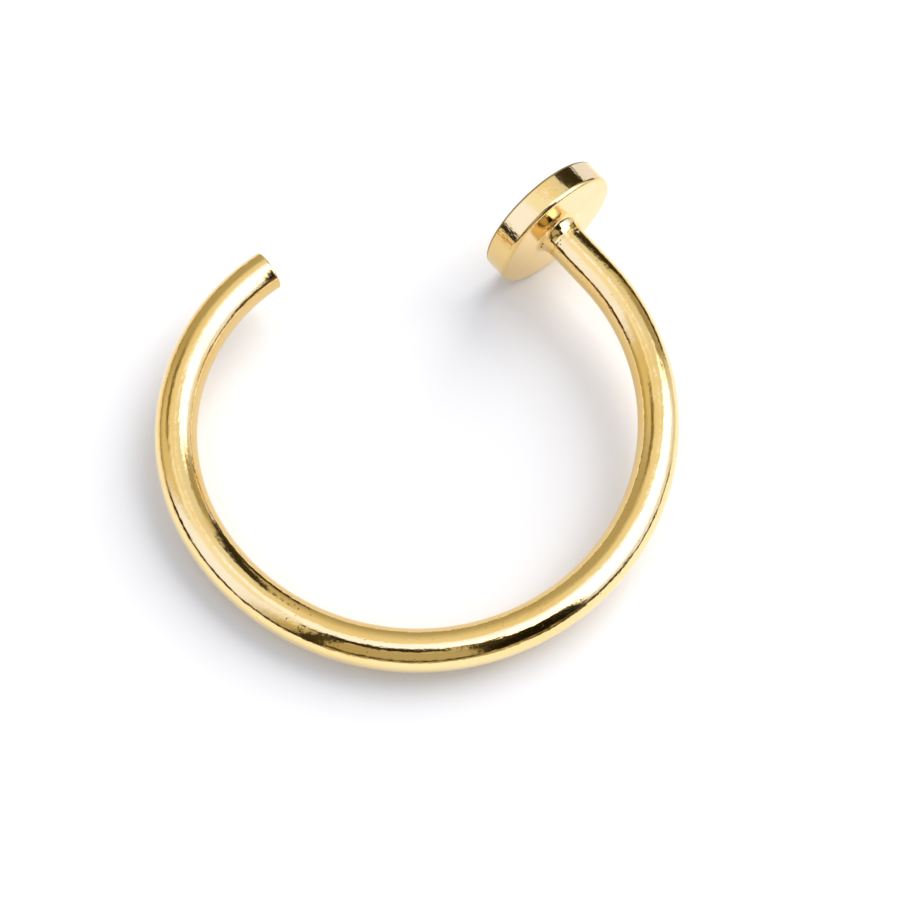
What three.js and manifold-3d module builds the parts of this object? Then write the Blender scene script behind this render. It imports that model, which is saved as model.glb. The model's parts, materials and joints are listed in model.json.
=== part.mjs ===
// A plain gold nose ring: an open hoop of round wire with a small flat disc soldered across one end.
// Millimetres, +Z up. The ring lies on a table as it would by itself, tipped a little by its disc, and
// the origin is on the table under the middle of the ring.

import * as THREE from 'three';
import { mergeVertices } from 'three/addons/utils/BufferGeometryUtils.js';
import Module from 'manifold-3d';

const degrees = Math.PI / 180;

// The wire, measured along its middle line from the back of the disc
const wireDiameter = 0.8;
const stubLength = 1.2; // straight stretch that stands out of the disc
const mainBendRadius = 4.65;
const mainBendAngle = 187 * degrees;
const endBendRadius = 4.1; // the slightly tighter bend towards the free end
const endBendAngle = 86 * degrees;

// The disc, with its axis along the stub
const discDiameter = 2.8;
const discThickness = 0.55;
const frontBevel = 0.035;
const backBevel = 0.06;

// The solder that fills the corner between the disc and the wire
const solderSpread = 0.14; // how far it runs out over the back of the disc
const solderClimb = 0.15; // how far it climbs up the wire
const solderHollow = 0.3; // share of the spread and the climb that is left at its middle, where it dips in

// Seen from above, the wire leaves the disc in this direction, counted from +X towards +Y
const stubHeading = -41 * degrees;

// Facets
const sides = 32; // round the wire and round the disc, so that their corners line up
const wireSteps = 66; // along the wire

// How the ring comes to lie on the table
const steepestSlope = 0.5; // no slope beyond this is looked at
const searchSteps = 45; // times that the range of slopes is narrowed by a third

const wireRadius = wireDiameter / 2;
const discRadius = discDiameter / 2;
const rootDepth = discThickness / 2; // the wire runs this far into the disc, so that the two join

const gold = new THREE.MeshStandardMaterial({ color: 0xd9b266, metalness: 1, roughness: 0.16 });

const wasm = await Module();
wasm.setup();

// The stretches of the wire in order, each straight or bent to the right
const stretches = [
  { length: rootDepth + stubLength, radius: Infinity },
  { length: mainBendRadius * mainBendAngle, radius: mainBendRadius },
  { length: endBendRadius * endBendAngle, radius: endBendRadius },
];

// The middle line of the wire, in the plane z = 0, from inside the disc to the free end
class WireLine extends THREE.Curve {
  getPoint(share, target = new THREE.Vector3()) {
    let left = share * stretches.reduce((sum, stretch) => sum + stretch.length, 0);
    let heading = stubHeading;
    target.set(Math.cos(heading), Math.sin(heading), 0).multiplyScalar(-rootDepth);
    for (const { length, radius } of stretches) {
      const travel = Math.min(left, length);
      const turn = travel / radius;
      const chord = turn > 0 ? 2 * radius * Math.sin(turn / 2) : travel;
      target.x += chord * Math.cos(heading - turn / 2);
      target.y += chord * Math.sin(heading - turn / 2);
      heading -= turn;
      left -= travel;
    }
    return target;
  }
}

// A closed geometry as a solid that can be joined to others
function solidFrom(geometry) {
  geometry.deleteAttribute('normal');
  geometry.deleteAttribute('uv');
  const merged = mergeVertices(geometry);
  const corners = merged.index.array;
  const triangles = [];
  for (let i = 0; i < corners.length; i += 3) {
    const [a, b, c] = corners.subarray(i, i + 3);
    if (a !== b && b !== c && c !== a) {
      triangles.push(a, b, c);
    }
  }
  return new wasm.Manifold(new wasm.Mesh({
    numProp: 3,
    vertProperties: merged.attributes.position.array,
    triVerts: Uint32Array.from(triangles),
  }));
}

function geometryFrom(solid) {
  const { vertProperties, triVerts } = solid.getMesh();
  const geometry = new THREE.BufferGeometry();
  geometry.setAttribute('position', new THREE.BufferAttribute(vertProperties, 3));
  geometry.setIndex(new THREE.BufferAttribute(triVerts, 1));
  geometry.computeVertexNormals();
  return geometry;
}

function wireSolid() {
  const section = new THREE.Shape().absarc(0, 0, wireRadius, 0, 2 * Math.PI);
  return solidFrom(new THREE.ExtrudeGeometry(section, {
    extrudePath: new WireLine(),
    steps: wireSteps,
    curveSegments: sides / 2,
  }));
}

// The disc and its solder in one turning, drawn from the middle of the front to inside the wire. Its
// back face is at height 0, and the wire stands out of it along +Y until it is turned to the stub.
function discSolid() {
  const profile = [
    [0, -discThickness],
    [discRadius - frontBevel, -discThickness],
    [discRadius, frontBevel - discThickness],
    [discRadius, -backBevel],
    [discRadius - backBevel, 0],
    [wireRadius + solderSpread, 0],
    [wireRadius + solderHollow * solderSpread, solderHollow * solderClimb],
    [wireRadius - solderHollow * solderSpread, (2 - solderHollow) * solderClimb],
    [0, (2 - solderHollow) * solderClimb],
  ].map(([radius, height]) => new THREE.Vector2(radius, height));
  return solidFrom(new THREE.LatheGeometry(profile, sides).rotateZ(stubHeading - Math.PI / 2));
}

function centreOfMass(geometry) {
  const position = geometry.attributes.position;
  const index = geometry.index;
  const [a, b, c, moment] = [0, 0, 0, 0].map(() => new THREE.Vector3());
  const cross = new THREE.Vector3();
  let volume = 0;
  for (let i = 0; i < index.count; i += 3) {
    a.fromBufferAttribute(position, index.getX(i));
    b.fromBufferAttribute(position, index.getX(i + 1));
    c.fromBufferAttribute(position, index.getX(i + 2));
    const wedge = a.dot(cross.crossVectors(b, c)) / 6;
    moment.addScaledVector(a.add(b).add(c), wedge / 4);
    volume += wedge;
  }
  return moment.divideScalar(volume);
}

// The slope at which height, which falls and then rises, is lowest
function slopeOfLowest(height) {
  let low = -steepestSlope;
  let high = steepestSlope;
  for (let i = 0; i < searchSteps; i++) {
    const third = (high - low) / 3;
    if (height(low + third) < height(high - third)) {
      high -= third;
    } else {
      low += third;
    }
  }
  return (low + high) / 2;
}

// A ring at rest has its centre of mass as low as it can be. The upward direction that gives this, near
// the +Z of the drawing, leans by one slope along X and one along Y.
function upAtRest(geometry) {
  const centre = centreOfMass(geometry);
  const { array } = geometry.attributes.position;
  function heightOfCentre(slopeX, slopeY) {
    let lowest = Infinity;
    for (let i = 0; i < array.length; i += 3) {
      lowest = Math.min(lowest, slopeX * array[i] + slopeY * array[i + 1] + array[i + 2]);
    }
    return (slopeX * centre.x + slopeY * centre.y + centre.z - lowest) / Math.hypot(slopeX, slopeY, 1);
  }
  const bestSlopeY = (slopeX) => slopeOfLowest((slopeY) => heightOfCentre(slopeX, slopeY));
  const slopeX = slopeOfLowest((slope) => heightOfCentre(slope, bestSlopeY(slope)));
  return new THREE.Vector3(slopeX, bestSlopeY(slopeX), 1).normalize();
}

const hoop = new THREE.Mesh(geometryFrom(wireSolid().add(discSolid())), gold);
hoop.name = 'nose_hoop';
hoop.quaternion.setFromUnitVectors(upAtRest(hoop.geometry), new THREE.Vector3(0, 0, 1));
const extent = new THREE.Box3().setFromObject(hoop, true);
const middle = extent.getCenter(new THREE.Vector3());
hoop.position.set(-middle.x, -middle.y, -extent.min.z);

const noseRing = new THREE.Group();
noseRing.add(hoop);

export default noseRing;
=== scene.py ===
# A plain gold nose ring lying on a pale studio table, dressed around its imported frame.

import json
import math

import bpy
from mathutils import Matrix, Vector


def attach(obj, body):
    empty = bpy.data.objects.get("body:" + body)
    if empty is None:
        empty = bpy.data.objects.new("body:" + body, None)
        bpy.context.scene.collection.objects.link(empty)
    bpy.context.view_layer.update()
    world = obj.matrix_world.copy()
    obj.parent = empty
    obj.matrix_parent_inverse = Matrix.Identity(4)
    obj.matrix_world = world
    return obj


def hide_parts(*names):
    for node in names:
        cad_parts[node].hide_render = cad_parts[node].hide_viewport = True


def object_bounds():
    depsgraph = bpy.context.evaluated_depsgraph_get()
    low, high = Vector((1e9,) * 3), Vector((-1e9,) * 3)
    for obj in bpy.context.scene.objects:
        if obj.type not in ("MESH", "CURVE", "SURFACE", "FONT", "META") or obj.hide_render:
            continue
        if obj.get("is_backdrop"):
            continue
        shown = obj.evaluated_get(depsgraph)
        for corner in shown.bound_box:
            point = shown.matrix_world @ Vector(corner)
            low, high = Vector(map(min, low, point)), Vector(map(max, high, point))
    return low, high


bl_info = {
    "name": "Nose Ring",
    "version": (1, 0, 0),
    "blender": (4, 5, 0),
    "location": "View3D > Sidebar > Nose Ring",
    "description": "An open gold hoop with a flat disc soldered across one end",
    "category": "Add Mesh",
}

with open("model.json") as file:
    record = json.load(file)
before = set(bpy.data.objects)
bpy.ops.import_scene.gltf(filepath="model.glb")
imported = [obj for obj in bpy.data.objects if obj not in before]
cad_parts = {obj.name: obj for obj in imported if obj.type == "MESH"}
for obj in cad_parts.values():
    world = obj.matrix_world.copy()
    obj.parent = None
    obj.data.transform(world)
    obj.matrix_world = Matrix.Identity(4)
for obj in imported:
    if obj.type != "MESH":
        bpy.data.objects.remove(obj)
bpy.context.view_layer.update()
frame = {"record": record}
MOUNTS = {mount["name"]: mount for mount in frame["record"]["mounts"]}

MM = 0.001
RING_NODE = "nose_hoop"
RING_MAP = "RingMap"  # UV map: millimetres along the outline, and millimetres round the wire
UNBENT = "unbent"  # attribute: the place in millimetres on the straight rod, before it is bent
SOLDER = "solder"  # attribute: 1 on the solder, fading out on the disc and the wire
EDGE = "edge"  # attribute: 1 on the rounded edges

SOLDER_SEED = 8.0  # chooses how the solder's lumps fall
SOLDER_REACH = 1.6  # on the disc, the solder's mask fades out over this many times its spread
SOLDER_FADE = (1.5, 0.5)  # up the wire it does so between these shares of that reach
BACK_FROM = -0.01 * MM  # from here on along the rod, a point is no longer on the disc's rim or front
DISC_FROM = 1.25  # the solder has the disc's material where it is this many wire radii thick
SEAM_GAP = 1e-4 * MM  # points closer than this are one

# Rows and columns of the ring's mesh
RING_SIDES = 128
ROW_SPACING = 0.1 * MM
ROUND_ROWS = 6
SOLDER_ROWS = 12
FACE_ROWS = 5
FLAT_MARGIN = 0.06  # the rows beside an edge lie this share of the flat in from it
LONGEST_MARGIN = 0.2 * ROW_SPACING  # on the wire and the rim they lie no further in than this

# Looks of the gold
RIPPLE_TURN = (0.5, 0.8, 0.3)  # keeps the ripple from lining up with the wire
RIPPLE_DRAWN = {"Coarse": 1.0, "Fine": 0.4}  # scale along the wire; a low one draws the ripple out
WIRE_FINE_SHARE = 0.33
DISC_FINE_SHARE = 0.45
WIRE_STAIN = 0.35  # how much of the solder the dark spots cover
DISC_STAIN = 0.0
WARM_PER_MM = 0.9
WARM_FROM = 0.35  # noise values between which the gold gets warmer
WARM_TO = 0.7
# painted shade: how much darker the base colour is in the tiny pits
PAINTED_PIT_SHADE = 0.2
# painted reflection: how much darker the base colour is along the disc's rounded front edge, in place of
# a dark reflection
PAINTED_FRONT_EDGE_REFLECTION = 0.7
LINE_ROUGHNESS = 0.05  # difference between the roughest and the smoothest polishing lines
EDGE_ROUGHNESS = 0.06
DARK_ROUGHNESS = 0.25


class RingSizes(bpy.types.PropertyGroup):
    """Sizes of the ring, measured along the middle line of its wire from the back of the disc"""

    wire_diameter: bpy.props.FloatProperty(
        name="Wire Diameter", description="Thickness of the round wire",
        default=0.8 * MM, min=0.3 * MM, precision=5, unit="LENGTH")
    stub_length: bpy.props.FloatProperty(
        name="Stub Length", description="Straight stretch that stands out of the disc",
        default=1.2 * MM, min=0.2 * MM, precision=5, unit="LENGTH")
    main_bend_radius: bpy.props.FloatProperty(
        name="Main Bend Radius", description="Radius of the main bend, to the middle of the wire",
        default=4.65 * MM, min=1 * MM, precision=5, unit="LENGTH")
    main_bend_angle: bpy.props.FloatProperty(
        name="Main Bend Angle", description="How far the wire turns in the main bend",
        default=math.radians(187), min=0, subtype="ANGLE")
    end_bend_radius: bpy.props.FloatProperty(
        name="End Bend Radius", description="Radius of the tighter bend towards the free end",
        default=4.1 * MM, min=1 * MM, precision=5, unit="LENGTH")
    end_bend_angle: bpy.props.FloatProperty(
        name="End Bend Angle", description="How far the wire turns in the end bend",
        default=math.radians(86), min=0, subtype="ANGLE")
    end_round: bpy.props.FloatProperty(
        name="End Round", description="Rounding of the edge of the cut end",
        default=0.03 * MM, min=0.001 * MM, precision=5, unit="LENGTH")
    disc_diameter: bpy.props.FloatProperty(
        name="Disc Diameter", description="Width of the disc",
        default=2.8 * MM, min=1 * MM, precision=5, unit="LENGTH")
    disc_thickness: bpy.props.FloatProperty(
        name="Disc Thickness", description="Thickness of the disc",
        default=0.55 * MM, min=0.2 * MM, precision=5, unit="LENGTH")
    front_round: bpy.props.FloatProperty(
        name="Front Round", description="Rounding of the disc's front edge",
        default=0.035 * MM, min=0.001 * MM, precision=5, unit="LENGTH")
    back_round: bpy.props.FloatProperty(
        name="Back Round", description="Rounding of the disc's back edge",
        default=0.085 * MM, min=0.001 * MM, precision=5, unit="LENGTH")
    solder_spread: bpy.props.FloatProperty(
        name="Solder Spread", description="How far the solder runs out over the back of the disc",
        default=0.18 * MM, min=0.01 * MM, precision=5, unit="LENGTH")
    solder_climb: bpy.props.FloatProperty(
        name="Solder Climb", description="How far the solder climbs up the wire",
        default=0.28 * MM, min=0.01 * MM, precision=5, unit="LENGTH")
    solder_lumps: bpy.props.FloatProperty(
        name="Solder Lumps", description="How uneven the solder is",
        default=0.008 * MM, min=0, precision=5, unit="LENGTH")
    solder_lump_count: bpy.props.FloatProperty(
        name="Solder Lump Count", description="Lumps of the solder across one thickness of the wire",
        default=1.8, min=0.1)


class RingFinish(bpy.types.PropertyGroup):
    """Colours and polish of the gold"""

    gold: bpy.props.FloatVectorProperty(
        name="Gold", description="Colour of the polished gold",
        default=(1.0, 0.72, 0.315), min=0, max=1, size=3, subtype="COLOR")
    warm_gold: bpy.props.FloatVectorProperty(
        name="Warm Gold", description="Colour of its slightly deeper patches",
        default=(0.98, 0.68, 0.27), min=0, max=1, size=3, subtype="COLOR")
    # colour of the real solder stains, and also of the painted shade in the pits and the painted dark
    # reflection on the disc's front edge
    scorch_and_painted_shade: bpy.props.FloatVectorProperty(
        name="Scorch", description="Colour of the dark spots that soldering leaves",
        default=(0.16, 0.08, 0.02), min=0, max=1, size=3, subtype="COLOR")
    roughness: bpy.props.FloatProperty(
        name="Roughness", description="Roughness of the polished gold",
        default=0.09, min=0, max=1, subtype="FACTOR")
    ripple_depth: bpy.props.FloatProperty(
        name="Ripple Depth", description="Depth of the unevenness that polishing leaves",
        default=0.006 * MM, min=0, precision=6, unit="LENGTH")
    line_depth: bpy.props.FloatProperty(
        name="Line Depth", description="Depth of the fine polishing lines",
        default=0.0009 * MM, min=0, precision=6, unit="LENGTH")
    ring_depth: bpy.props.FloatProperty(
        name="Ring Depth", description="Depth of the rings in the solder",
        default=0.0008 * MM, min=0, precision=6, unit="LENGTH")
    pit_depth: bpy.props.FloatProperty(
        name="Pit Depth", description="Depth of the tiny pits",
        default=0.002 * MM, min=0, precision=6, unit="LENGTH")
    # start of the painted dark reflection along the disc's front edge
    front_line_from: bpy.props.FloatProperty(
        name="Front Line From", description="Where the darkened edge starts, from the back of the disc",
        default=-0.5 * MM, precision=5, unit="LENGTH")


class StudioSettings(bpy.types.PropertyGroup):
    """Light, table and camera"""

    brightness: bpy.props.FloatProperty(
        name="Brightness", description="Strength of all of the dome's light",
        default=1.0, min=0)
    fill_colour: bpy.props.FloatVectorProperty(
        name="Fill", description="Even light that falls on the table from all sides",
        default=(0.64, 0.662, 0.718), min=0, max=2, size=3, subtype="COLOR")
    key_power: bpy.props.FloatProperty(
        name="Key Power", description="Power of the soft key light on the table, in watts",
        default=98.0, min=0)
    key_colour: bpy.props.FloatVectorProperty(
        name="Key", description="Colour of the key light",
        default=(1.0, 0.965, 0.915), min=0, max=1, size=3, subtype="COLOR")
    key_size: bpy.props.FloatProperty(
        name="Key Size", description="Width of the key light, which makes its shadows soft",
        default=2900 * MM, min=0, unit="LENGTH")
    key_azimuth: bpy.props.FloatProperty(
        name="Key Azimuth", description="Where the key light stands, 0 being along +Y and 90 along +X",
        default=math.radians(38), subtype="ANGLE")
    key_elevation: bpy.props.FloatProperty(
        name="Key Elevation", description="Height of the key light above the horizon",
        default=math.radians(39), subtype="ANGLE")
    table_colour: bpy.props.FloatVectorProperty(
        name="Table", description="Colour of the table",
        default=(0.93, 0.93, 0.94), min=0, max=1, size=3, subtype="COLOR")
    # painted light and shade: the next colours and the glow are what the gold sees on the table instead
    # of how it is lit, darker inside the hoop where the ring shades it and lighter round it
    inner_reflection: bpy.props.FloatVectorProperty(
        name="Inner Reflection", description="Colour that the gold sees on the table inside the hoop",
        default=(0.58, 0.54, 0.47), min=0, max=1, size=3, subtype="COLOR")
    near_reflection: bpy.props.FloatVectorProperty(
        name="Near Reflection", description="Colour that the gold sees on the table close to it",
        default=(0.78, 0.83, 0.93), min=0, max=1, size=3, subtype="COLOR")
    far_reflection: bpy.props.FloatVectorProperty(
        name="Far Reflection", description="Colour that the gold sees on the table far behind it",
        default=(0.60, 0.54, 0.42), min=0, max=1, size=3, subtype="COLOR")
    end_reflection: bpy.props.FloatVectorProperty(
        name="End Reflection", description="Colour that the gold sees where the table ends",
        default=(0.10, 0.07, 0.04), min=0, max=1, size=3, subtype="COLOR")
    glow: bpy.props.FloatProperty(
        name="Glow", description="Light that the gold sees in the table besides what falls on it",
        default=0.29, min=0)
    glow_colour: bpy.props.FloatVectorProperty(
        name="Glow Colour", description="Colour of the table's glow",
        default=(0.66, 0.80, 1.0), min=0, max=1, size=3, subtype="COLOR")
    backdrop_colour: bpy.props.FloatVectorProperty(
        name="Backdrop", description="Colour that the camera sees beyond the table",
        default=(0.97, 0.97, 0.98), min=0, max=1, size=3, subtype="COLOR")
    camera_azimuth: bpy.props.FloatProperty(
        name="Camera Azimuth", description="Where the camera stands, 180 being on the -Y side",
        default=math.radians(179.72), subtype="ANGLE")
    camera_elevation: bpy.props.FloatProperty(
        name="Camera Elevation", description="Height of the camera above the horizon",
        default=math.radians(63.88), subtype="ANGLE")
    camera_roll: bpy.props.FloatProperty(
        name="Camera Roll", description="Turn of the camera about its own line of sight",
        default=math.radians(9.33), subtype="ANGLE")
    camera_distance: bpy.props.FloatProperty(
        name="Camera Distance", description="Distance of the camera from what it looks at",
        default=30.4 * MM, precision=5, unit="LENGTH")
    camera_target: bpy.props.FloatVectorProperty(
        name="Camera Target", description="Point that the camera looks at",
        default=(0.68 * MM, -0.976 * MM, 0.841 * MM), precision=5, size=3, unit="LENGTH")
    camera_lens: bpy.props.FloatProperty(
        name="Lens", description="Focal length in millimetres", default=64.0, min=10)


# Small helpers for node trees

def new_tree(name, kind, inputs, outputs):
    """A node group with the named sockets, as (name, type, default) and (name, type)."""
    tree = bpy.data.node_groups.new(name, kind)
    for label, socket, default in inputs:
        made = tree.interface.new_socket(label, in_out="INPUT", socket_type=socket)
        if default is not None:
            made.default_value = default
    for label, socket in outputs:
        tree.interface.new_socket(label, in_out="OUTPUT", socket_type=socket)
    return tree


def add_node(tree, kind, inputs=None, **settings):
    """A node with its settings, whose inputs are linked where a socket is given and set otherwise."""
    node = tree.nodes.new(kind)
    node.location = (180 * (len(tree.nodes) % 12), -220 * (len(tree.nodes) // 12))
    for name, value in settings.items():
        setattr(node, name, value)
    for key, value in (inputs or {}).items():
        if isinstance(value, bpy.types.NodeSocket):
            tree.links.new(value, node.inputs[key])
        else:
            node.inputs[key].default_value = value
    return node


def calc(tree, operation, *values):
    """The result of a Math node."""
    return add_node(tree, "ShaderNodeMath", dict(enumerate(values)), operation=operation).outputs[0]


def ramp(tree, value, low, high, to_low=0.0, to_high=1.0):
    """Value eased from to_low at low to to_high at high."""
    node = add_node(tree, "ShaderNodeMapRange", {
        "Value": value, "From Min": low, "From Max": high, "To Min": to_low, "To Max": to_high,
    }, interpolation_type="SMOOTHSTEP")
    return node.outputs["Result"]


def noise(tree, vector, scale, detail=2.0, **others):
    """The value of a noise texture."""
    return add_node(tree, "ShaderNodeTexNoise", {
        "Vector": vector, "Scale": scale, "Detail": detail, **others,
    }).outputs["Fac"]


def blend(tree, factor, first, second):
    """A colour between two others, each of them a socket or a colour without alpha."""
    first, second = (end if isinstance(end, bpy.types.NodeSocket) else (*end, 1)
                     for end in (first, second))
    node = add_node(tree, "ShaderNodeMix", {"Factor": factor, 6: first, 7: second}, data_type="RGBA")
    return node.outputs[2]


def separate(tree, vector):
    """X, Y and Z of a vector."""
    return add_node(tree, "ShaderNodeSeparateXYZ", {0: vector}).outputs


def combine(tree, *parts):
    """A vector from its X, Y and Z."""
    return add_node(tree, "ShaderNodeCombineXYZ", dict(enumerate(parts))).outputs[0]


def axis_distance(tree, part):
    """Distance from the rod's axis, from the X, Y and Z of a place on the straight rod."""
    squares = (calc(tree, "MULTIPLY", part[axis], part[axis]) for axis in ("Y", "Z"))
    return calc(tree, "SQRT", calc(tree, "ADD", *squares))


def stored(tree, name, kind):
    """An attribute that the geometry has."""
    return add_node(tree, "GeometryNodeInputNamedAttribute", {"Name": name}, data_type=kind).outputs[0]


def change(tree, kind, geometry, inputs=None, **settings):
    """The geometry that comes out of one more node."""
    return add_node(tree, kind, {"Geometry": geometry, **(inputs or {})}, **settings).outputs[0]


def place_group(tree, group, inputs):
    """Outputs of a node of one of the shader groups."""
    return add_node(tree, "ShaderNodeGroup", inputs, node_tree=group).outputs


# Shape of the ring

def round_rows(centre, radius, start, end):
    """Points of a small round in the outline, from one angle to another."""
    for row in range(ROUND_ROWS + 1):
        angle = math.radians(start + (end - start) * row / ROUND_ROWS)
        yield centre[0] + radius * math.cos(angle), centre[1] + radius * math.sin(angle), 1.0


def face_rows(distance, start, end):
    """Points across a flat face, with one close to each edge so that the shading stays flat."""
    margin = FLAT_MARGIN * (end - start)
    yield distance, start + margin, 0.0
    for row in range(1, FACE_ROWS):
        yield distance, start + (end - start) * row / FACE_ROWS, 0.0
    yield distance, end - margin, 0.0


def straight_rows(start, end, radius):
    """Points along a straight side, with one close to each end."""
    margin = min(FLAT_MARGIN * (end - start), LONGEST_MARGIN)
    yield start + margin, radius, 0.0
    count = math.ceil((end - start) / ROW_SPACING)
    for row in range(1, count):
        yield start + (end - start) * row / count, radius, 0.0
    yield end - margin, radius, 0.0


def solder_rows(climb, spread, wire):
    """Points of the hollow quarter round of the solder, from the disc to the wire."""
    for row in range(SOLDER_ROWS + 1):
        angle = math.pi / 2 * row / SOLDER_ROWS
        yield climb * (1 - math.cos(angle)), wire + spread * (1 - math.sin(angle)), 0.0


def ring_profile(sizes):
    """Half outline of the ring before it is bent, as points (distance along the wire, radius, 1 on a
    rounded edge). It runs from the middle of the disc's front, over its rim and the solder, and along the
    wire to the middle of the cut end."""
    wire = sizes.wire_diameter / 2
    disc = sizes.disc_diameter / 2
    front = -sizes.disc_thickness
    length = (sizes.stub_length + sizes.main_bend_radius * sizes.main_bend_angle
              + sizes.end_bend_radius * sizes.end_bend_angle)
    front_round, back_round, end_round = sizes.front_round, sizes.back_round, sizes.end_round
    spread, climb = sizes.solder_spread, sizes.solder_climb

    points = [(front, 0, 0.0)]
    points += face_rows(front, 0, disc - front_round)
    points += round_rows((front + front_round, disc - front_round), front_round, 180, 90)
    points += straight_rows(front + front_round, -back_round, disc)
    points += round_rows((-back_round, disc - back_round), back_round, 90, 0)
    points += face_rows(0, disc - back_round, wire + spread)
    points += solder_rows(climb, spread, wire)
    points += straight_rows(climb, length - end_round, wire)
    points += round_rows((length - end_round, wire - end_round), end_round, 90, 0)
    points += face_rows(length, wire - end_round, 0)
    points.append((length, 0, 0.0))
    return points


def bend_group():
    """Node group that carries a point of a straight rod along one stretch of the bent wire. Position and
    Heading are where the stretch starts, and Left is the distance that the point still has to go."""
    tree = new_tree("Bend", "GeometryNodeTree", [
        ("Position", "NodeSocketVector", None), ("Heading", "NodeSocketFloat", 0.0),
        ("Left", "NodeSocketFloat", 0.0), ("Radius", "NodeSocketFloat", 1.0),
        ("Angle", "NodeSocketFloat", 1.0),
    ], [("Position", "NodeSocketVector"), ("Heading", "NodeSocketFloat"), ("Left", "NodeSocketFloat")])
    given = add_node(tree, "NodeGroupInput").outputs
    length = calc(tree, "MULTIPLY", given["Radius"], given["Angle"])
    travel = calc(tree, "MAXIMUM", calc(tree, "MINIMUM", given["Left"], length), 0.0)
    turn = calc(tree, "DIVIDE", travel, given["Radius"])
    half = calc(tree, "MULTIPLY", turn, 0.5)
    chord = calc(tree, "MULTIPLY", calc(tree, "MULTIPLY", given["Radius"], 2.0),
                 calc(tree, "SINE", half))
    aim = calc(tree, "SUBTRACT", given["Heading"], half)
    step = combine(tree, calc(tree, "MULTIPLY", chord, calc(tree, "COSINE", aim)),
                   calc(tree, "MULTIPLY", chord, calc(tree, "SINE", aim)))
    place = add_node(tree, "ShaderNodeVectorMath", {0: given["Position"], 1: step}, operation="ADD")
    add_node(tree, "NodeGroupOutput", {
        "Position": place.outputs[0],
        "Heading": calc(tree, "SUBTRACT", given["Heading"], turn),
        "Left": calc(tree, "SUBTRACT", given["Left"], travel),
    })
    return tree


def unroll_profile(tree, given):
    """A grid with a row for each point of the profile and a column for each side of the rod. Then come
    what each point has: its place in the profile, its edge attribute and its turn round the axis."""
    rows = add_node(tree, "GeometryNodeAttributeDomainSize", {
        0: given["Profile"],
    }).outputs["Point Count"]
    grid = add_node(tree, "GeometryNodeMeshGrid", {
        "Size X": 1.0, "Size Y": 1.0,
        "Vertices X": calc(tree, "ADD", given["Sides"], 1.0), "Vertices Y": rows,
    }).outputs["Mesh"]
    index = add_node(tree, "GeometryNodeInputIndex").outputs[0]
    row = calc(tree, "FLOORED_MODULO", index, rows)
    column = calc(tree, "FLOOR", calc(tree, "DIVIDE", calc(tree, "ADD", index, 0.5), rows))
    position = add_node(tree, "GeometryNodeInputPosition").outputs[0]
    outline, edge = (add_node(tree, "GeometryNodeSampleIndex", {
        "Geometry": given["Profile"], "Value": value, "Index": row,
    }, data_type=kind).outputs[0] for value, kind in (
        (position, "FLOAT_VECTOR"), (stored(tree, EDGE, "FLOAT"), "FLOAT")))
    turn = calc(tree, "MULTIPLY", calc(tree, "DIVIDE", column, given["Sides"]), 2 * math.pi)
    return grid, separate(tree, outline), edge, turn


def solder_mask(tree, given, distance, radius):
    """1 on the solder, fading out over the disc beside it and up the wire."""
    reach = calc(tree, "MULTIPLY", given["Solder Spread"], SOLDER_REACH)
    beside_wire = calc(tree, "SUBTRACT", radius, given["Wire Radius"])
    on_disc = ramp(tree, beside_wire, reach, given["Solder Spread"])
    up_wire = ramp(tree, distance, *(calc(tree, "MULTIPLY", reach, share) for share in SOLDER_FADE))
    behind = calc(tree, "GREATER_THAN", distance, BACK_FROM)
    return calc(tree, "MULTIPLY", calc(tree, "MULTIPLY", on_disc, up_wire), behind)


def bend_rod(tree, given, distance, out, height):
    """Place on the bent wire of a point of the straight rod, from its distance along the rod, how far out
    to the side it is and its height."""
    bend = bend_group()
    place = combine(tree, calc(tree, "MINIMUM", distance, given["Stub Length"]))
    heading = 0.0
    left = calc(tree, "MAXIMUM", calc(tree, "SUBTRACT", distance, given["Stub Length"]), 0.0)
    for name in ("Main", "End"):
        stretch = add_node(tree, "GeometryNodeGroup", {
            "Position": place, "Heading": heading, "Left": left,
            "Radius": given[f"{name} Bend Radius"], "Angle": given[f"{name} Bend Angle"],
        }, node_tree=bend).outputs
        place, heading, left = (stretch[key] for key in ("Position", "Heading", "Left"))
    inward = calc(tree, "MULTIPLY", calc(tree, "SINE", heading), -1.0)
    offset = combine(tree, calc(tree, "MULTIPLY", inward, out),
                     calc(tree, "MULTIPLY", calc(tree, "COSINE", heading), out), height)
    return add_node(tree, "ShaderNodeVectorMath", {0: place, 1: offset}, operation="ADD").outputs[0]


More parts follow.
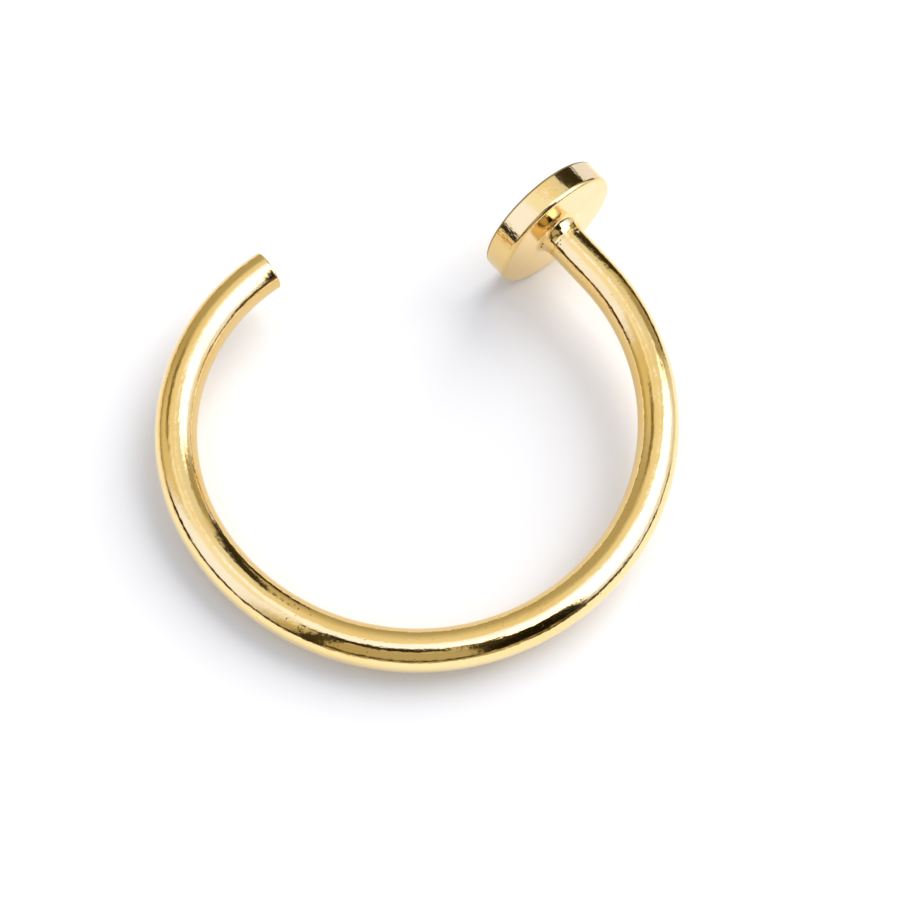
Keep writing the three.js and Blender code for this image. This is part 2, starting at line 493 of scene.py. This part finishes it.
def ring_tree():
    """Geometry nodes that turn the profile round the rod's axis and then bend the rod into the hoop."""
    tree = new_tree("Bent Ring", "GeometryNodeTree", [
        ("Profile", "NodeSocketGeometry", None), ("Sides", "NodeSocketInt", 32),
        ("Wire Radius", "NodeSocketFloat", 0.4 * MM), ("Stub Length", "NodeSocketFloat", 1.2 * MM),
        ("Main Bend Radius", "NodeSocketFloat", 4 * MM), ("Main Bend Angle", "NodeSocketFloat", 3.0),
        ("End Bend Radius", "NodeSocketFloat", 4 * MM), ("End Bend Angle", "NodeSocketFloat", 1.0),
        ("Solder Spread", "NodeSocketFloat", 0.1 * MM), ("Solder Lumps", "NodeSocketFloat", 0.0),
        ("Lumps per Metre", "NodeSocketFloat", 1000.0), ("Seed", "NodeSocketFloat", 0.0),
        ("Wire Material", "NodeSocketMaterial", None), ("Disc Material", "NodeSocketMaterial", None),
    ], [("Ring", "NodeSocketGeometry")])
    given = add_node(tree, "NodeGroupInput").outputs
    mesh, outline, edge, turn = unroll_profile(tree, given)
    distance, radius, walked = outline["X"], outline["Y"], outline["Z"]
    cosine, sine = calc(tree, "COSINE", turn), calc(tree, "SINE", turn)

    solder = solder_mask(tree, given, distance, radius)
    around = combine(tree, calc(tree, "MULTIPLY", cosine, radius), calc(tree, "MULTIPLY", sine, radius),
                     distance)
    uneven = add_node(tree, "ShaderNodeTexNoise", {
        "Vector": around, "W": given["Seed"], "Scale": given["Lumps per Metre"], "Detail": 1.5,
    }, noise_dimensions="4D").outputs["Fac"]
    lump = calc(tree, "MULTIPLY", calc(tree, "SUBTRACT", uneven, 0.5), given["Solder Lumps"])
    lump = calc(tree, "MULTIPLY", lump, solder)
    radius = calc(tree, "ADD", radius, lump)
    distance = calc(tree, "ADD", distance, lump)

    out = calc(tree, "MULTIPLY", radius, cosine)
    height = calc(tree, "MULTIPLY", radius, sine)
    around_wire = calc(tree, "MULTIPLY", turn, given["Wire Radius"])
    unrolled, unbent = (combine(tree, *(calc(tree, "MULTIPLY", part, 1 / MM) for part in parts))
                        for parts in ((walked, around_wire), (distance, out, height)))
    for name, value, kind in ((RING_MAP, unrolled, "FLOAT_VECTOR"), (UNBENT, unbent, "FLOAT_VECTOR"),
                              (SOLDER, solder, "FLOAT"), (EDGE, edge, "FLOAT")):
        mesh = change(tree, "GeometryNodeStoreNamedAttribute", mesh, {
            "Name": name, "Value": value,
        }, data_type=kind, domain="POINT")
    mesh = change(tree, "GeometryNodeStoreNamedAttribute", mesh, {
        "Name": RING_MAP, "Value": stored(tree, RING_MAP, "FLOAT_VECTOR"),
    }, data_type="FLOAT2", domain="CORNER")

    mesh = change(tree, "GeometryNodeSetPosition", mesh, {
        "Position": bend_rod(tree, given, distance, out, height),
    })
    mesh = change(tree, "GeometryNodeMergeByDistance", mesh, {"Distance": SEAM_GAP})
    mesh = change(tree, "GeometryNodeSetShadeSmooth", mesh)
    mesh = change(tree, "GeometryNodeRealizeInstances", mesh)
    mesh = change(tree, "GeometryNodeSetMaterial", mesh, {"Material": given["Wire Material"]})
    place = separate(tree, stored(tree, UNBENT, "FLOAT_VECTOR"))
    in_disc = calc(tree, "LESS_THAN", place["X"], 0.0)
    on_solder = calc(tree, "GREATER_THAN", axis_distance(tree, place),
                     calc(tree, "MULTIPLY", given["Wire Radius"], DISC_FROM / MM))
    mesh = change(tree, "GeometryNodeSetMaterial", mesh, {
        "Selection": calc(tree, "MAXIMUM", in_disc, on_solder), "Material": given["Disc Material"],
    })
    add_node(tree, "NodeGroupOutput", {"Ring": mesh})
    return tree


def set_inputs(modifier, values):
    """Sets a geometry nodes modifier's inputs by name, through each socket's identifier."""
    for item in modifier.node_group.interface.items_tree:
        if item.item_type == "SOCKET" and item.in_out == "INPUT" and item.name in values:
            modifier[item.identifier] = values[item.name]


def ring_place(sizes):
    """Matrix from the straight rod's frame, with the disc's back at the origin and the wire along +X, to
    the ring's place in the frame. It is read from the flat mounts on the disc and on the cut end."""
    along = -Vector(MOUNTS["disc_front"]["axis"])
    up = along.cross(Vector(MOUNTS["cut_end"]["axis"])).normalized()
    turn = Matrix((along, up.cross(along), up)).transposed().to_4x4()
    back = Vector(MOUNTS["disc_front"]["pos_m"]) + along * sizes.disc_thickness
    return Matrix.Translation(back) @ turn


# Finish of the gold

class GoldEffects:
    """The node groups that the gold of the wire and that of the disc share"""

    def __init__(self):
        self.polish = self.polish_lines()
        self.ripple = self.polished_ripple()
        self.pits = self.micro_pits()
        self.stain = self.solder_stain()
        self.rings = self.solder_rings()

    def polish_lines(self):
        """Fine lines that run along the wire, or round the axis of the disc. Place is in millimetres on
        the straight rod."""
        tree = new_tree("Polish Lines", "ShaderNodeTree", [
            ("Place", "NodeSocketVector", None), ("On Disc", "NodeSocketFloat", 0.0),
            ("Lines per Millimetre", "NodeSocketFloat", 20.0), ("Stretch", "NodeSocketFloat", 0.03),
        ], [("Height", "NodeSocketFloat")])
        given = add_node(tree, "NodeGroupInput").outputs
        part = separate(tree, given["Place"])
        on_wire = combine(tree, calc(tree, "MULTIPLY", part["X"], given["Stretch"]), part["Y"], part["Z"])
        on_disc = combine(tree, part["X"], axis_distance(tree, part),
                          calc(tree, "MULTIPLY", part["Z"], given["Stretch"]))
        place = add_node(tree, "ShaderNodeMix", {
            "Factor": given["On Disc"], 4: on_wire, 5: on_disc,
        }, data_type="VECTOR").outputs[1]
        add_node(tree, "NodeGroupOutput", {
            "Height": noise(tree, place, given["Lines per Millimetre"], 3.0, Roughness=0.65),
        })
        return tree

    def polished_ripple(self):
        """The slight unevenness of hand polished metal, with a coarse and a fine part."""
        tree = new_tree("Polished Ripple", "ShaderNodeTree", [
            ("Place", "NodeSocketVector", None), ("Coarse per Millimetre", "NodeSocketFloat", 2.3),
            ("Fine per Millimetre", "NodeSocketFloat", 22.0), ("Fine Share", "NodeSocketFloat", 0.33),
        ], [("Height", "NodeSocketFloat")])
        given = add_node(tree, "NodeGroupInput").outputs
        places = {name: add_node(tree, "ShaderNodeMapping", {
            "Vector": given["Place"], "Rotation": RIPPLE_TURN, "Scale": (along, 1.0, 1.0),
        }).outputs[0] for name, along in RIPPLE_DRAWN.items()}
        coarse, fine = (noise(tree, place, given[f"{name} per Millimetre"], 1.5)
                        for name, place in places.items())
        height = calc(tree, "ADD", coarse, calc(tree, "MULTIPLY", fine, given["Fine Share"]))
        add_node(tree, "NodeGroupOutput", {"Height": height})
        return tree

    def micro_pits(self):
        """Tiny round pits, gathered in some places and missing in others."""
        tree = new_tree("Micro Pits", "ShaderNodeTree", [
            ("Place", "NodeSocketVector", None), ("Pits per Millimetre", "NodeSocketFloat", 12.0),
            ("Pit Size", "NodeSocketFloat", 0.35), ("Cover", "NodeSocketFloat", 0.3),
            ("Patches per Millimetre", "NodeSocketFloat", 1.3), ("Patch From", "NodeSocketFloat", 0.4),
            ("Patch To", "NodeSocketFloat", 0.7),
        ], [("Mask", "NodeSocketFloat")])
        given = add_node(tree, "NodeGroupInput").outputs
        cells = add_node(tree, "ShaderNodeTexVoronoi", {
            "Vector": given["Place"], "Scale": given["Pits per Millimetre"],
        }).outputs
        pit = ramp(tree, cells["Distance"], given["Pit Size"], 0.0)
        luck = add_node(tree, "ShaderNodeSeparateColor", {0: cells["Color"]}).outputs[0]
        patch = ramp(tree, noise(tree, given["Place"], given["Patches per Millimetre"]),
                     given["Patch From"], given["Patch To"])
        chosen = calc(tree, "LESS_THAN", luck, calc(tree, "MULTIPLY", patch, given["Cover"]))
        add_node(tree, "NodeGroupOutput", {"Mask": calc(tree, "MULTIPLY", pit, chosen)})
        return tree

    def solder_stain(self):
        """Dark and brown spots that soldering leaves on the solder and next to it."""
        tree = new_tree("Solder Stain", "ShaderNodeTree", [
            ("Place", "NodeSocketVector", None), ("Solder", "NodeSocketFloat", 0.0),
            ("Spots per Millimetre", "NodeSocketFloat", 8.0), ("Cover", "NodeSocketFloat", 0.35),
            ("Bare From", "NodeSocketFloat", 0.75), ("Cover Span", "NodeSocketFloat", 0.35),
            ("Spot Edge", "NodeSocketFloat", 0.08),
        ], [("Mask", "NodeSocketFloat")])
        given = add_node(tree, "NodeGroupInput").outputs
        mottle = noise(tree, given["Place"], given["Spots per Millimetre"], 3.0)
        low = calc(tree, "SUBTRACT", given["Bare From"],
                   calc(tree, "MULTIPLY", given["Cover"], given["Cover Span"]))
        spots = ramp(tree, mottle, low, calc(tree, "ADD", low, given["Spot Edge"]))
        add_node(tree, "NodeGroupOutput", {"Mask": calc(tree, "MULTIPLY", spots, given["Solder"])})
        return tree

    def solder_rings(self):
        """Low rings round the foot of the wire, where the solder drew back as it set."""
        tree = new_tree("Solder Rings", "ShaderNodeTree", [
            ("Place", "NodeSocketVector", None), ("Solder", "NodeSocketFloat", 0.0),
            ("Rings per Millimetre", "NodeSocketFloat", 8.0),
            ("Waves per Millimetre", "NodeSocketFloat", 2.0), ("Wave Size", "NodeSocketFloat", 0.12),
        ], [("Height", "NodeSocketFloat")])
        given = add_node(tree, "NodeGroupInput").outputs
        part = separate(tree, given["Place"])
        out = calc(tree, "SUBTRACT", axis_distance(tree, part), part["X"])
        uneven = calc(tree, "MULTIPLY", noise(tree, given["Place"], given["Waves per Millimetre"]),
                      given["Wave Size"])
        turns = calc(tree, "MULTIPLY", calc(tree, "ADD", out, uneven), given["Rings per Millimetre"])
        height = calc(tree, "SINE", calc(tree, "MULTIPLY", turns, 2 * math.pi))
        add_node(tree, "NodeGroupOutput", {"Height": calc(tree, "MULTIPLY", height, given["Solder"])})
        return tree


def new_material(name):
    """A material, its node tree and its shader."""
    material = bpy.data.materials.new(name)
    material.use_nodes = True
    return material, material.node_tree, material.node_tree.nodes["Principled BSDF"]


def gold_material(name, finish, effects, on_disc):
    """Polished gold, whose polishing lines run along the wire or round the disc."""
    material, tree, shader = new_material(name)
    place = add_node(tree, "ShaderNodeAttribute", attribute_name=UNBENT).outputs["Vector"]
    solder = add_node(tree, "ShaderNodeAttribute", attribute_name=SOLDER).outputs["Fac"]
    edge = add_node(tree, "ShaderNodeAttribute", attribute_name=EDGE).outputs["Fac"]
    lines = place_group(tree, effects.polish, {"Place": place, "On Disc": float(on_disc)})["Height"]
    ripple = place_group(tree, effects.ripple, {
        "Place": place, "Fine Share": DISC_FINE_SHARE if on_disc else WIRE_FINE_SHARE,
    })["Height"]
    pits = place_group(tree, effects.pits, {"Place": place})["Mask"]
    stain = place_group(tree, effects.stain, {
        "Place": place, "Solder": solder, "Cover": DISC_STAIN if on_disc else WIRE_STAIN,
    })["Mask"]
    rings = place_group(tree, effects.rings, {"Place": place, "Solder": solder})["Height"]

    # the darkening mixes real solder stains with painted shade in the pits
    dark = calc(tree, "MAXIMUM", stain, calc(tree, "MULTIPLY", pits, PAINTED_PIT_SHADE))
    if on_disc:
        # painted dark reflection along the disc's rounded front edge, put into the base colour
        at_front = calc(tree, "LESS_THAN", separate(tree, place)["X"], finish.front_line_from / MM)
        painted_edge_reflection = calc(tree, "MULTIPLY", calc(tree, "MULTIPLY", edge, at_front), PAINTED_FRONT_EDGE_REFLECTION)
        dark = calc(tree, "MAXIMUM", dark, painted_edge_reflection)
    tone = ramp(tree, noise(tree, place, WARM_PER_MM, 3.0), WARM_FROM, WARM_TO)
    colour = blend(tree, tone, finish.gold, finish.warm_gold)
    tree.links.new(blend(tree, dark, colour, finish.scorch_and_painted_shade), shader.inputs["Base Color"])

    rough = calc(tree, "MULTIPLY_ADD", lines, LINE_ROUGHNESS, finish.roughness - LINE_ROUGHNESS / 2)
    rough = calc(tree, "ADD", rough, calc(tree, "MULTIPLY", edge, EDGE_ROUGHNESS))
    rough = calc(tree, "ADD", rough, calc(tree, "MULTIPLY", dark, DARK_ROUGHNESS))
    tree.links.new(rough, shader.inputs["Roughness"])
    shader.inputs["Metallic"].default_value = 1.0

    normal = None
    for height, depth in ((ripple, finish.ripple_depth), (rings, finish.ring_depth),
                          (lines, finish.line_depth), (pits, -finish.pit_depth)):
        bump = add_node(tree, "ShaderNodeBump", {
            "Height": height, "Distance": abs(depth),
        }, invert=depth < 0)
        if normal:
            tree.links.new(normal, bump.inputs["Normal"])
        normal = bump.outputs[0]
    tree.links.new(normal, shader.inputs["Normal"])
    return material


class NOSERING_OT_make_ring(bpy.types.Operator):
    """Make the bent gold ring with its disc"""

    bl_idname = "nosering.make_ring"
    bl_label = "Make Ring"

    def execute(self, context):
        sizes = context.scene.ring_sizes
        profile = ring_profile(sizes)
        walked = [0.0]
        for (x0, y0, _), (x1, y1, _) in zip(profile, profile[1:]):
            walked.append(walked[-1] + math.hypot(x1 - x0, y1 - y0))
        mesh = bpy.data.meshes.new("ring_outline")
        mesh.from_pydata([(x, y, w) for (x, y, _), w in zip(profile, walked)], [], [])
        edge = mesh.attributes.new(EDGE, "FLOAT", "POINT")
        edge.data.foreach_set("value", [on_edge for _, _, on_edge in profile])
        source = bpy.data.objects.new("ring_outline", mesh)
        context.scene.collection.objects.link(source)

        finish = context.scene.ring_finish
        effects = GoldEffects()
        modifier = source.modifiers.new("bent_ring", "NODES")
        modifier.node_group = ring_tree()
        set_inputs(modifier, {
            "Sides": RING_SIDES,
            "Wire Radius": sizes.wire_diameter / 2,
            "Stub Length": sizes.stub_length,
            "Main Bend Radius": sizes.main_bend_radius,
            "Main Bend Angle": sizes.main_bend_angle,
            "End Bend Radius": sizes.end_bend_radius,
            "End Bend Angle": sizes.end_bend_angle,
            "Solder Spread": sizes.solder_spread,
            "Solder Lumps": sizes.solder_lumps,
            "Lumps per Metre": sizes.solder_lump_count / sizes.wire_diameter,
            "Seed": SOLDER_SEED,
            "Wire Material": gold_material("wire_gold", finish, effects, on_disc=False),
            "Disc Material": gold_material("disc_gold", finish, effects, on_disc=True),
        })
        evaluated = source.evaluated_get(context.evaluated_depsgraph_get())
        solid = bpy.data.meshes.new_from_object(evaluated)
        solid.transform(ring_place(sizes))
        ring = bpy.data.objects.new("gold_nose_ring", solid)
        context.scene.collection.objects.link(ring)
        bpy.data.objects.remove(source)
        if not ring.data.polygons:
            raise RuntimeError("the ring's nodes made no faces")
        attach(ring, "root")
        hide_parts(RING_NODE)
        return {"FINISHED"}


# Studio
KEY_DISTANCE = 3000 * MM
TABLE_HALF = 2000 * MM
TABLE_ROUGHNESS = 0.9
SENSOR_WIDTH = 36  # millimetres
CLIP = (1 * MM, 100)

# The table as the gold sees it, painted with light and shade. It gets lighter between the first two
# distances from the middle, out of the painted shade inside the hoop. On all sides but the near one it
# gets dimmer between the next two, and ends between the last two.
GETS_LIGHTER = (3.5 * MM, 5.5 * MM)
NEAR_SIDE = math.radians(130)
GETS_DIMMER = (7 * MM, 20 * MM)
ENDS = (45 * MM, 80 * MM)

# A card beyond the disc: its direction in degrees, and its distance, sides and heights in millimetres
CARD = {"azimuth": 22, "distance": 8, "left": 0.0, "right": 0.95, "bottom": 1.7, "top": 3.7,
        "light": (0.86, 0.98, 1.5)}

# What the gold sees of the room, as soft-edged panels on a dome round the ring. Each has its middle, its
# width and height and the width of its soft edge, all in degrees, with azimuth 0 along +Y and 90 along
# +X. Lean is how far it slants sideways for each degree up. A later panel covers earlier ones.
TINTS = {
    "amber": (1.04, 0.97, 0.68),
    "straw": (1.02, 1.0, 0.85),
    "cream": (1.0, 1.08, 1.2),
    "plain": (1.0, 1.05, 1.25),
    "cool": (0.97, 1.14, 1.85),
    "dark": (1.0, 0.8, 0.4),
}
WALL = {"low": 0.42, "low_tint": "amber", "low_elevation": 8,
        "high": 0.86, "high_tint": "straw", "high_elevation": 70}
PANEL_COLUMNS = ("azimuth", "elevation", "width", "height", "edge", "brightness", "tint", "lean")
PANELS = {
    "far left wall": (-50, 14, 40, 70, 18, 0.44, "amber", 0),
    "left wall": (-92, 38, 44, 52, 22, 0.70, "amber", 0),
    "left card": (-121, 42, 40, 66, 16, 1.02, "cool", 0),
    "left ceiling edge": (-98, 66, 56, 20, 10, 0.95, "cream", 0),
    "back ceiling edge": (28, 62, 50, 18, 12, 0.78, "cream", 0),
    "ceiling": (0, 90, 360, 28, 6, 1.15, "cool", 0),
    "bright ceiling": (97, 80, 100, 30, 10, 2.6, "plain", 0),
    "softbox skirt": (86, 30, 66, 70, 14, 0.90, "cool", 0),
    "key softbox": (84, 56, 84, 50, 12, 2.7, "plain", 0),
    "low right card": (62, 9, 40, 12, 6, 0.74, "cream", 0),
    "wall behind camera": (179, 38, 62, 44, 12, 0.45, "amber", 0),
    "black flag": (135, 38, 35, 50, 5, 0.012, "dark", 0),
    "black flag foot": (113, 10, 26, 9, 5, 0.10, "dark", 0),
    "black flag top": (147, 61, 16, 30, 4, 0.04, "dark", 0),
    "back gap side": (40, 34, 20, 26, 10, 0.36, "amber", 0),
    "back gap": (22, 29, 13, 50, 5, 0.03, "dark", -0.38),
    "back gap foot": (28, 5, 40, 18, 5, 0.05, "dark", 0),
    "camera": (-172, 69, 56, 16, 4, 0.03, "dark", 0),
    "camera arm": (-158, 36, 9, 54, 3, 0.04, "dark", 0),
    "front table edge": (177, 13, 50, 9, 5, 0.06, "dark", 0),
    "left table edge": (-131, 4, 64, 12, 4, 0.03, "dark", 0),
    "right table edge": (106, 3, 64, 9, 5, 0.05, "dark", 0),
    "left stand": (-70, 44, 22, 14, 10, 0.22, "dark", 0),
}


def panel_group():
    """Node group that puts one soft-edged panel over the dome's light."""
    tree = new_tree("Studio Panel", "ShaderNodeTree", [
        ("Light", "NodeSocketColor", None), ("Azimuth", "NodeSocketFloat", 0.0),
        ("Elevation", "NodeSocketFloat", 0.0), ("Middle Azimuth", "NodeSocketFloat", 0.0),
        ("Middle Elevation", "NodeSocketFloat", 0.0), ("Width", "NodeSocketFloat", 10.0),
        ("Height", "NodeSocketFloat", 10.0), ("Edge", "NodeSocketFloat", 1.0),
        ("Lean", "NodeSocketFloat", 0.0), ("Panel Light", "NodeSocketColor", None),
    ], [("Light", "NodeSocketColor")])
    given = add_node(tree, "NodeGroupInput").outputs
    half_edge = calc(tree, "MULTIPLY", given["Edge"], 0.5)
    up = calc(tree, "SUBTRACT", given["Elevation"], given["Middle Elevation"])
    aside = calc(tree, "SUBTRACT", given["Azimuth"], given["Middle Azimuth"])
    aside = calc(tree, "SUBTRACT", aside, calc(tree, "MULTIPLY", up, given["Lean"]))
    mask = 1.0
    for apart, size in ((calc(tree, "WRAP", aside, 180.0, -180.0), "Width"), (up, "Height")):
        half = calc(tree, "MULTIPLY", given[size], 0.5)
        covered = ramp(tree, calc(tree, "ABSOLUTE", apart), calc(tree, "ADD", half, half_edge),
                       calc(tree, "SUBTRACT", half, half_edge))
        mask = calc(tree, "MULTIPLY", mask, covered)
    light = blend(tree, mask, given["Light"], given["Panel Light"])
    add_node(tree, "NodeGroupOutput", {"Light": light})
    return tree


def tinted(tint, brightness):
    """Light of one of the tints."""
    return [part * brightness for part in TINTS[tint]]


def direction_to(azimuth, elevation):
    """Direction from the ring to a point of the studio, with azimuth 0 along +Y and 90 along +X."""
    level = math.cos(elevation)
    return Vector((math.sin(azimuth) * level, math.cos(azimuth) * level, math.sin(elevation)))


def facing(direction):
    """Turn of a light or a camera that looks along a direction."""
    return direction.to_track_quat("-Z", "Y").to_matrix().to_4x4()


def light_studio(scene, settings):
    """The dome that the gold reflects, and an even fill and one soft key light for the table."""
    world = bpy.data.worlds.new("studio")
    scene.world = world
    world.use_nodes = True
    tree = world.node_tree
    part = separate(tree, add_node(tree, "ShaderNodeTexCoord").outputs["Generated"])
    azimuth = calc(tree, "DEGREES", calc(tree, "ARCTAN2", part["X"], part["Y"]))
    elevation = calc(tree, "DEGREES", calc(tree, "ARCSINE", part["Z"]))
    light = blend(tree, ramp(tree, elevation, WALL["low_elevation"], WALL["high_elevation"]),
                  tinted(WALL["low_tint"], WALL["low"]), tinted(WALL["high_tint"], WALL["high"]))
    group = panel_group()
    for row in PANELS.values():
        panel = dict(zip(PANEL_COLUMNS, row))
        light = place_group(tree, group, {
            "Light": light, "Azimuth": azimuth, "Elevation": elevation,
            "Middle Azimuth": panel["azimuth"], "Middle Elevation": panel["elevation"],
            "Width": panel["width"], "Height": panel["height"], "Edge": panel["edge"],
            "Lean": panel["lean"], "Panel Light": (*tinted(panel["tint"], panel["brightness"]), 1),
        })["Light"]
    ray = add_node(tree, "ShaderNodeLightPath").outputs
    light = blend(tree, ray["Is Glossy Ray"], settings.fill_colour, light)
    light = blend(tree, ray["Is Camera Ray"], light, settings.backdrop_colour)
    background = tree.nodes["Background"]
    tree.links.new(light, background.inputs["Color"])
    background.inputs["Strength"].default_value = settings.brightness
    world.cycles.sampling_method = "NONE"

    data = bpy.data.lights.new("key_light", "AREA")
    data.color = settings.key_colour
    data.size = settings.key_size
    data.energy = settings.key_power
    key = bpy.data.objects.new("key_light", data)
    scene.collection.objects.link(key)
    back = direction_to(settings.key_azimuth, settings.key_elevation)
    key.matrix_world = Matrix.Translation(back * KEY_DISTANCE) @ facing(-back)
    key.visible_glossy = False


def add_sheet(scene, name, corners, material):
    """A flat object with four corners."""
    mesh = bpy.data.meshes.new(name)
    mesh.from_pydata(corners, [], [(0, 1, 2, 3)])
    mesh.materials.append(material)
    sheet = bpy.data.objects.new(name, mesh)
    scene.collection.objects.link(sheet)
    return sheet


def lay_table(scene, settings):
    """A pale table under the ring, see-through from below. The gold sees it in colours of its own,
    painted light and shade that stand in for how it is lit.
    """
    material, tree, shader = new_material("table_paper")
    shader.inputs["Roughness"].default_value = TABLE_ROUGHNESS
    shader.inputs["Specular IOR Level"].default_value = 0.0
    shader.inputs["Emission Color"].default_value = (*settings.glow_colour, 1)
    reflected = add_node(tree, "ShaderNodeLightPath").outputs["Is Glossy Ray"]
    place = add_node(tree, "ShaderNodeTexCoord").outputs["Object"]
    out = add_node(tree, "ShaderNodeVectorMath", {0: place}, operation="LENGTH").outputs["Value"]
    near = add_node(tree, "ShaderNodeVectorMath", {
        0: place, 1: direction_to(NEAR_SIDE, 0.0),
    }, operation="DOT_PRODUCT").outputs["Value"]
    away = calc(tree, "SUBTRACT", out, near)
    # painted reflection of the table for reflected rays, darker inside the hoop and lighter round it
    painted_reflection = blend(tree, ramp(tree, out, *GETS_LIGHTER),
                 settings.inner_reflection, settings.near_reflection)
    painted_reflection = blend(tree, ramp(tree, away, *GETS_DIMMER), painted_reflection, settings.far_reflection)
    painted_reflection = blend(tree, ramp(tree, away, *ENDS), painted_reflection, settings.end_reflection)
    tree.links.new(blend(tree, reflected, settings.table_colour, painted_reflection), shader.inputs["Base Color"])
    # painted light: a glow that only reflected rays see, fading out where the table ends
    glow = ramp(tree, away, *ENDS, settings.glow, 0.0)
    tree.links.new(calc(tree, "MULTIPLY", reflected, glow), shader.inputs["Emission Strength"])
    below = add_node(tree, "ShaderNodeNewGeometry").outputs["Backfacing"]
    tree.links.new(calc(tree, "SUBTRACT", 1.0, below), shader.inputs["Alpha"])

    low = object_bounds()[0][2]
    corners = [(x * TABLE_HALF, y * TABLE_HALF, low) for x, y in ((-1, -1), (1, -1), (1, 1), (-1, 1))]
    table = add_sheet(scene, "table", corners, material)
    table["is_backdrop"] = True


def stand_card(scene):
    """A small pale card beyond the disc, which only reflected rays see. The dark stretch in the rim of
    the disc ends where the card begins."""
    material, _, shader = new_material("card_light")
    shader.inputs["Base Color"].default_value = (0, 0, 0, 1)
    shader.inputs["Specular IOR Level"].default_value = 0.0
    shader.inputs["Emission Color"].default_value = (*CARD["light"], 1)
    shader.inputs["Emission Strength"].default_value = 1.0

    ahead = direction_to(math.radians(CARD["azimuth"]), 0.0) * CARD["distance"] * MM
    across = direction_to(math.radians(CARD["azimuth"] + 90), 0.0)
    corners = [ahead + across * CARD[side] * MM + Vector((0, 0, CARD[height] * MM))
               for side, height in (("left", "bottom"), ("right", "bottom"),
                                    ("right", "top"), ("left", "top"))]
    card = add_sheet(scene, "rim_card", corners, material)
    card.visible_camera = False
    card.visible_diffuse = False
    card.visible_shadow = False
    card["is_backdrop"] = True


def place_camera(scene, settings):
    """The camera of the photo, rolled a little about its line of sight."""
    back = direction_to(settings.camera_azimuth, settings.camera_elevation)
    data = bpy.data.cameras.new("camera")
    data.sensor_width = SENSOR_WIDTH
    data.lens = settings.camera_lens
    data.clip_start, data.clip_end = CLIP
    camera = bpy.data.objects.new("camera", data)
    scene.collection.objects.link(camera)
    roll = Matrix.Rotation(settings.camera_roll, 4, "Z")
    place = Matrix.Translation(Vector(settings.camera_target) + back * settings.camera_distance)
    camera.matrix_world = place @ facing(-back) @ roll
    scene.camera = camera


class NOSERING_OT_set_stage(bpy.types.Operator):
    """Set the table, the studio light and the camera"""

    bl_idname = "nosering.set_stage"
    bl_label = "Set Stage"

    def execute(self, context):
        settings = context.scene.studio_settings
        light_studio(context.scene, settings)
        lay_table(context.scene, settings)
        stand_card(context.scene)
        place_camera(context.scene, settings)
        context.scene.view_settings.view_transform = "Standard"
        return {"FINISHED"}


class NOSERING_PT_panel(bpy.types.Panel):
    """Lists what the ring is made with"""

    bl_label = "Nose Ring"
    bl_idname = "NOSERING_PT_panel"
    bl_space_type = "VIEW_3D"
    bl_region_type = "UI"
    bl_category = "Nose Ring"

    def draw(self, context):
        for group in (context.scene.ring_sizes, context.scene.ring_finish, context.scene.studio_settings):
            for name in group.__annotations__:
                self.layout.prop(group, name)
        self.layout.operator(NOSERING_OT_make_ring.bl_idname)
        self.layout.operator(NOSERING_OT_set_stage.bl_idname)


CLASSES = (RingSizes, RingFinish, StudioSettings, NOSERING_OT_make_ring, NOSERING_OT_set_stage,
           NOSERING_PT_panel)


def register():
    for item in CLASSES:
        bpy.utils.register_class(item)
    bpy.types.Scene.ring_sizes = bpy.props.PointerProperty(type=RingSizes)
    bpy.types.Scene.ring_finish = bpy.props.PointerProperty(type=RingFinish)
    bpy.types.Scene.studio_settings = bpy.props.PointerProperty(type=StudioSettings)


def unregister():
    del bpy.types.Scene.ring_sizes
    del bpy.types.Scene.ring_finish
    del bpy.types.Scene.studio_settings
    for item in reversed(CLASSES):
        bpy.utils.unregister_class(item)


def main():
    register()
    bpy.ops.nosering.make_ring()
    bpy.ops.nosering.set_stage()


if __name__ == "__main__":
    main()
